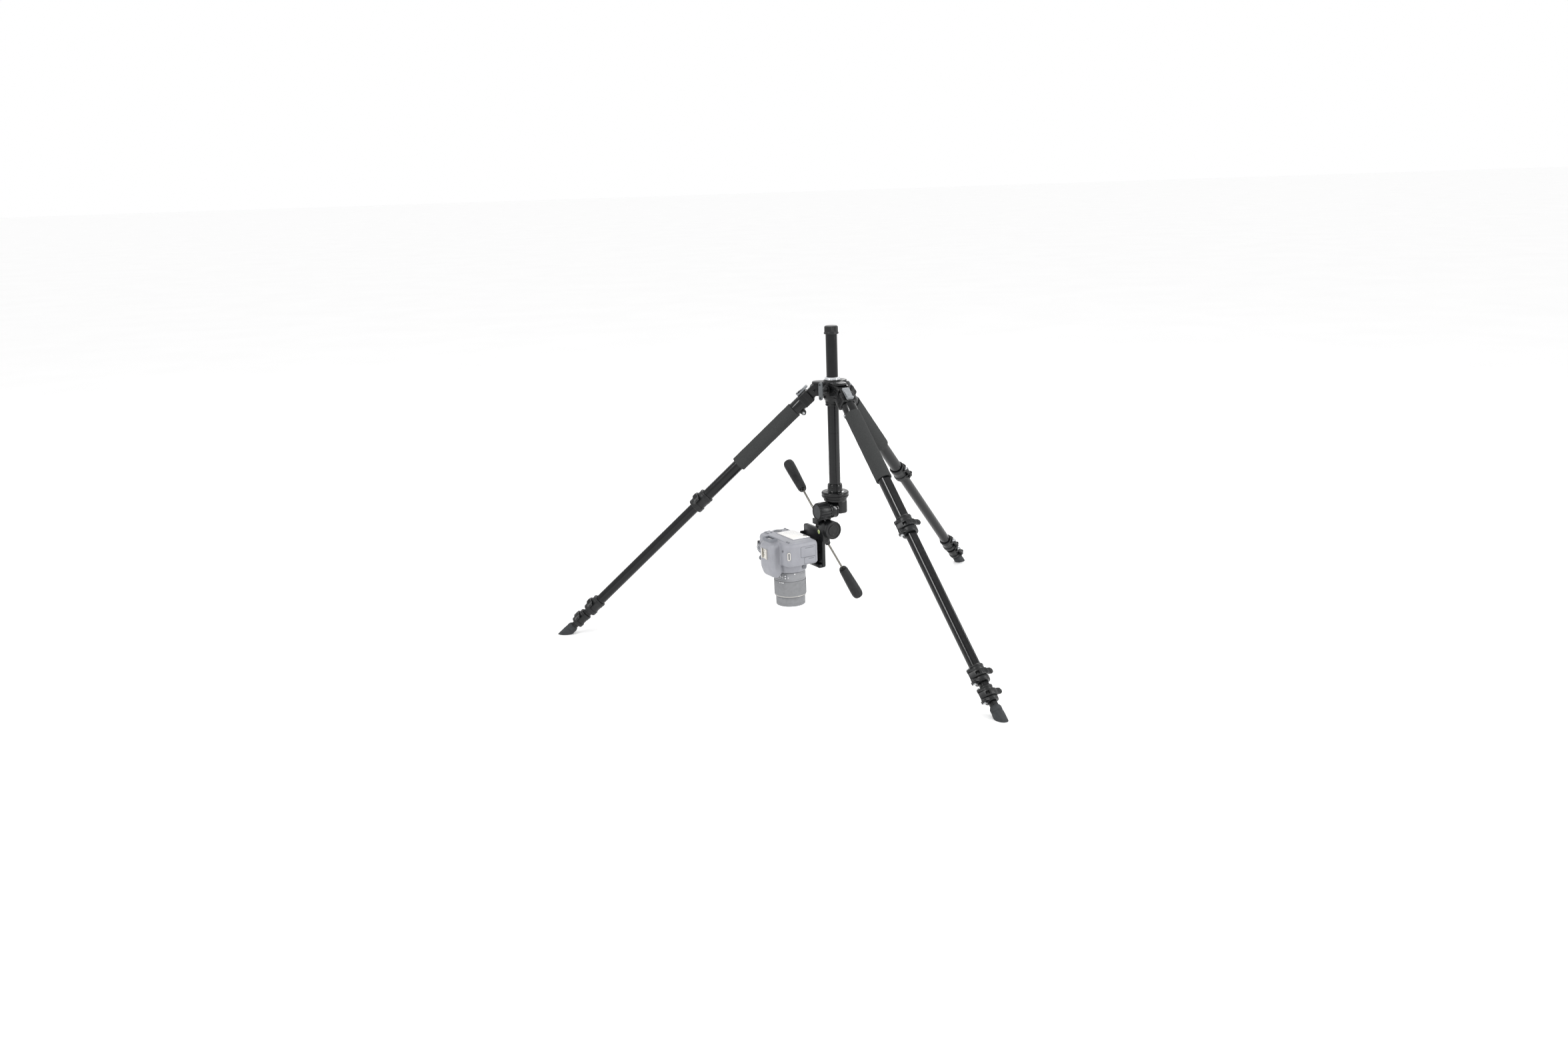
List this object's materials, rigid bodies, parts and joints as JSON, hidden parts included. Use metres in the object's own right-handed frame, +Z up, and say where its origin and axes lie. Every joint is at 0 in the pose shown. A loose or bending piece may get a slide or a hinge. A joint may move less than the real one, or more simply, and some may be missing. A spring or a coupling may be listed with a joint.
{
  "type": "camera tripod with camera",
  "caption": "Three-legged extending tripod with an inverted centre column and a three-way head that holds an interchangeable-lens camera pointing straight down",
  "frame": {"origin": "on the floor under the middle of the box around the whole object", "axes": "+Z up, +X to the viewer's right, +Y away from the viewer; the longest side of the box is along Y"},
  "size_m": [0.924, 1.0642, 0.656],
  "materials": {
    "lacquered_tube": "gloss black lacquer on aluminium tube",
    "cast_metal": "semi-gloss black paint on cast alloy",
    "black_plastic": "satin glass-filled nylon",
    "foam": "matte closed-cell foam",
    "foot_rubber": "matte moulded rubber",
    "pale_tab": "pale grey moulded plastic",
    "bright_metal": "polished chrome plate",
    "rubber_grip": "satin moulded rubber over a steel rod",
    "camera_plastic": "fine-grained grey moulded plastic",
    "camera_rubber": "ribbed grey rubber"
  },
  "bodies": {
    "crown": {"crown": "cast_metal"},
    "left_leg": {"left_leg_bracket": "cast_metal", "left_upper_tube": "lacquered_tube", "left_foam_grip": "foam", "left_upper_lock": "black_plastic"},
    "left_tab": {"left_angle_tab": "pale_tab"},
    "left_middle_section": {"left_middle_tube": "lacquered_tube", "left_middle_lock": "black_plastic"},
    "left_lower_section": {"left_lower_tube": "lacquered_tube", "left_lower_lock": "black_plastic"},
    "left_foot_section": {"left_foot": "foot_rubber"},
    "left_upper_clamp": {"left_upper_lever": "black_plastic"},
    "left_middle_clamp": {"left_middle_lever": "black_plastic"},
    "left_lower_clamp": {"left_lower_lever": "black_plastic"},
    "front_leg": {"front_leg_bracket": "cast_metal", "front_upper_tube": "lacquered_tube", "front_foam_grip": "foam", "front_upper_lock": "black_plastic"},
    "front_tab": {"front_angle_tab": "pale_tab"},
    "front_middle_section": {"front_middle_tube": "lacquered_tube", "front_middle_lock": "black_plastic"},
    "front_lower_section": {"front_lower_tube": "lacquered_tube", "front_lower_lock": "black_plastic"},
    "front_foot_section": {"front_foot": "foot_rubber"},
    "front_upper_clamp": {"front_upper_lever": "black_plastic"},
    "front_middle_clamp": {"front_middle_lever": "black_plastic"},
    "front_lower_clamp": {"front_lower_lever": "black_plastic"},
    "rear_leg": {"rear_leg_bracket": "cast_metal", "rear_upper_tube": "lacquered_tube", "rear_foam_grip": "foam", "rear_upper_lock": "black_plastic"},
    "rear_tab": {"rear_angle_tab": "pale_tab"},
    "rear_middle_section": {"rear_middle_tube": "lacquered_tube", "rear_middle_lock": "black_plastic"},
    "rear_lower_section": {"rear_lower_tube": "lacquered_tube", "rear_lower_lock": "black_plastic"},
    "rear_foot_section": {"rear_foot": "foot_rubber"},
    "rear_upper_clamp": {"rear_upper_lever": "black_plastic"},
    "rear_middle_clamp": {"rear_middle_lever": "black_plastic"},
    "rear_lower_clamp": {"rear_lower_lever": "black_plastic"},
    "bushing": {"column_bushing": "bright_metal"},
    "column": {"centre_column": "lacquered_tube", "column_cap": "black_plastic", "head_mount": "cast_metal"},
    "column_screw": {"column_lock_knob": "black_plastic"},
    "pan": {"pan_body": "cast_metal"},
    "tilt_screw": {"tilt_lock_knob": "black_plastic"},
    "tilt": {"tilt_body": "cast_metal"},
    "tilt_grip": {"tilt_handle": "rubber_grip"},
    "camera": {"platform": "cast_metal", "quick_release_plate": "black_plastic", "camera_body": "camera_plastic", "lens_barrel": "camera_plastic"},
    "flip_grip": {"flip_handle": "rubber_grip"},
    "plate_clamp": {"quick_release_lever": "black_plastic"},
    "zoom": {"zoom_ring": "camera_rubber"},
    "lens_front": {"front_barrel": "camera_plastic"},
    "focus": {"focus_ring": "camera_rubber"},
    "dial": {"mode_dial": "camera_plastic"},
    "shutter": {"shutter_button": "camera_plastic"}
  },
  "joints": [
    {"name": "left_leg_spread", "type": "hinge", "parent": "crown", "child": "left_leg", "pos_m": [0.11441, 0, 0.525], "axis": [0, 1, 0], "range_deg": [-15, 0]},
    {"name": "left_tab_slide", "type": "slide", "parent": "left_leg", "child": "left_tab", "axis": [-0.7294, 0, -0.684], "range_m": [0, 0.006], "stiffness_N_per_m": 250},
    {"name": "left_middle_slide", "type": "slide", "parent": "left_leg", "child": "left_middle_section", "axis": [-0.7294, 0, -0.684], "range_m": [-0.28, 0]},
    {"name": "left_lower_slide", "type": "slide", "parent": "left_middle_section", "child": "left_lower_section", "axis": [-0.7294, 0, -0.684], "range_m": [0, 0.28]},
    {"name": "left_foot_slide", "type": "slide", "parent": "left_lower_section", "child": "left_foot_section", "axis": [-0.7294, 0, -0.684], "range_m": [0, 0.28]},
    {"name": "left_upper_clamp_swing", "type": "hinge", "parent": "left_leg", "child": "left_upper_clamp", "pos_m": [-0.13621, 0.02065, 0.2941], "axis": [-0.7294, 0, -0.684], "range_deg": [0, 120]},
    {"name": "left_middle_clamp_swing", "type": "hinge", "parent": "left_middle_section", "child": "left_middle_clamp", "pos_m": [-0.37976, 0.01905, 0.06571], "axis": [-0.7294, 0, -0.684], "range_deg": [0, 120]},
    {"name": "left_lower_clamp_swing", "type": "hinge", "parent": "left_lower_section", "child": "left_lower_clamp", "pos_m": [-0.41016, 0.01745, 0.0372], "axis": [-0.7294, 0, -0.684], "range_deg": [0, 120]},
    {"name": "front_leg_spread", "type": "hinge", "parent": "crown", "child": "front_leg", "pos_m": [0.16916, -0.03161, 0.525], "axis": [-0.866, -0.5, 0], "range_deg": [-15, 0]},
    {"name": "front_tab_slide", "type": "slide", "parent": "front_leg", "child": "front_tab", "axis": [0.3647, -0.6317, -0.684], "range_m": [0, 0.006], "stiffness_N_per_m": 250},
    {"name": "front_middle_slide", "type": "slide", "parent": "front_leg", "child": "front_middle_section", "axis": [0.3647, -0.6317, -0.684], "range_m": [-0.28, 0]},
    {"name": "front_lower_slide", "type": "slide", "parent": "front_middle_section", "child": "front_lower_section", "axis": [0.3647, -0.6317, -0.684], "range_m": [0, 0.28]},
    {"name": "front_foot_slide", "type": "slide", "parent": "front_lower_section", "child": "front_foot_section", "axis": [0.3647, -0.6317, -0.684], "range_m": [0, 0.28]},
    {"name": "front_upper_clamp_swing", "type": "hinge", "parent": "front_leg", "child": "front_upper_clamp", "pos_m": [0.27658, -0.25898, 0.2941], "axis": [0.3647, -0.6317, -0.684], "range_deg": [0, 120]},
    {"name": "front_middle_clamp_swing", "type": "hinge", "parent": "front_middle_section", "child": "front_middle_clamp", "pos_m": [0.39974, -0.4691, 0.06571], "axis": [0.3647, -0.6317, -0.684], "range_deg": [0, 120]},
    {"name": "front_lower_clamp_swing", "type": "hinge", "parent": "front_lower_section", "child": "front_lower_clamp", "pos_m": [0.41633, -0.49463, 0.0372], "axis": [0.3647, -0.6317, -0.684], "range_deg": [0, 120]},
    {"name": "rear_leg_spread", "type": "hinge", "parent": "crown", "child": "rear_leg", "pos_m": [0.16916, 0.03161, 0.525], "axis": [0.866, -0.5, 0], "range_deg": [-15, 0]},
    {"name": "rear_tab_slide", "type": "slide", "parent": "rear_leg", "child": "rear_tab", "axis": [0.3647, 0.6317, -0.684], "range_m": [0, 0.006], "stiffness_N_per_m": 250},
    {"name": "rear_middle_slide", "type": "slide", "parent": "rear_leg", "child": "rear_middle_section", "axis": [0.3647, 0.6317, -0.684], "range_m": [-0.28, 0]},
    {"name": "rear_lower_slide", "type": "slide", "parent": "rear_middle_section", "child": "rear_lower_section", "axis": [0.3647, 0.6317, -0.684], "range_m": [0, 0.28]},
    {"name": "rear_foot_slide", "type": "slide", "parent": "rear_lower_section", "child": "rear_foot_section", "axis": [0.3647, 0.6317, -0.684], "range_m": [0, 0.28]},
    {"name": "rear_upper_clamp_swing", "type": "hinge", "parent": "rear_leg", "child": "rear_upper_clamp", "pos_m": [0.31235, 0.23833, 0.2941], "axis": [0.3647, 0.6317, -0.684], "range_deg": [0, 120]},
    {"name": "rear_middle_clamp_swing", "type": "hinge", "parent": "rear_middle_section", "child": "rear_middle_clamp", "pos_m": [0.43274, 0.45005, 0.06571], "axis": [0.3647, 0.6317, -0.684], "range_deg": [0, 120]},
    {"name": "rear_lower_clamp_swing", "type": "hinge", "parent": "rear_lower_section", "child": "rear_lower_clamp", "pos_m": [0.44655, 0.47718, 0.0372], "axis": [0.3647, 0.6317, -0.684], "range_deg": [0, 120]},
    {"name": "column_turn", "type": "hinge", "parent": "crown", "child": "bushing", "pos_m": [0.15091, 0, 0.545], "axis": [0, 0, 1], "continuous": true},
    {"name": "column_slide", "type": "slide", "parent": "bushing", "child": "column", "axis": [0, 0, 1], "range_m": [-0.05, 0.05]},
    {"name": "column_screw_turn", "type": "hinge", "parent": "crown", "child": "column_screw", "pos_m": [0.13591, -0.02598, 0.527], "axis": [-0.5, -0.866, 0], "range_deg": [0, 180]},
    {"name": "pan_turn", "type": "hinge", "parent": "column", "child": "pan", "pos_m": [0.15091, 0, 0.29], "axis": [0, 0, 1], "continuous": true},
    {"name": "tilt_screw_turn", "type": "hinge", "parent": "pan", "child": "tilt_screw", "pos_m": [0.12582, -0.01645, 0.269], "axis": [-0.8362, -0.5484, 0], "range_deg": [-180, 0]},
    {"name": "tilt_turn", "type": "hinge", "parent": "pan", "child": "tilt", "pos_m": [0.14087, -0.00658, 0.269], "axis": [-0.8362, -0.5484, 0], "range_deg": [-45, 90]},
    {"name": "tilt_grip_twist", "type": "hinge", "parent": "tilt", "child": "tilt_grip", "pos_m": [0.11511, -0.00195, 0.2497], "axis": [-0.4236, 0.6458, 0.6353], "range_deg": [-180, 0]},
    {"name": "flip_turn", "type": "hinge", "parent": "tilt", "child": "camera", "pos_m": [0.13418, -0.01097, 0.229], "axis": [0.5484, -0.8362, 0], "range_deg": [0, 90]},
    {"name": "flip_grip_twist", "type": "hinge", "parent": "camera", "child": "flip_grip", "pos_m": [0.12969, -0.0187, 0.206], "axis": [0.4155, 0.2725, -0.8678], "range_deg": [-180, 0]},
    {"name": "plate_clamp_swing", "type": "hinge", "parent": "camera", "child": "plate_clamp", "pos_m": [0.07884, 0.03513, 0.2115], "axis": [-0.8362, -0.5484, 0], "range_deg": [-60, 0]},
    {"name": "zoom_turn", "type": "hinge", "parent": "camera", "child": "zoom", "pos_m": [0.05125, -0.02948, 0.11], "axis": [0, 0, -1], "range_deg": [0, 60]},
    {"name": "lens_front_slide", "type": "slide", "parent": "camera", "child": "lens_front", "axis": [0, 0, -1], "range_m": [0, 0.012]},
    {"name": "focus_turn", "type": "hinge", "parent": "lens_front", "child": "focus", "pos_m": [0.05125, -0.02948, 0.082], "axis": [0, 0, -1], "range_deg": [-60, 60]},
    {"name": "dial_turn", "type": "hinge", "parent": "camera", "child": "dial", "pos_m": [-0.00698, -0.00908, 0.19], "axis": [-0.8362, -0.5484, 0], "continuous": true},
    {"name": "shutter_press", "type": "slide", "parent": "camera", "child": "shutter", "axis": [0.8362, 0.5484, 0], "range_m": [0, 0.0012], "stiffness_N_per_m": 600}
  ],
  "couplings": [
    {"joint": "lens_front_slide", "follows": "zoom_turn", "m_per_rad": 0.0114}
  ]
}
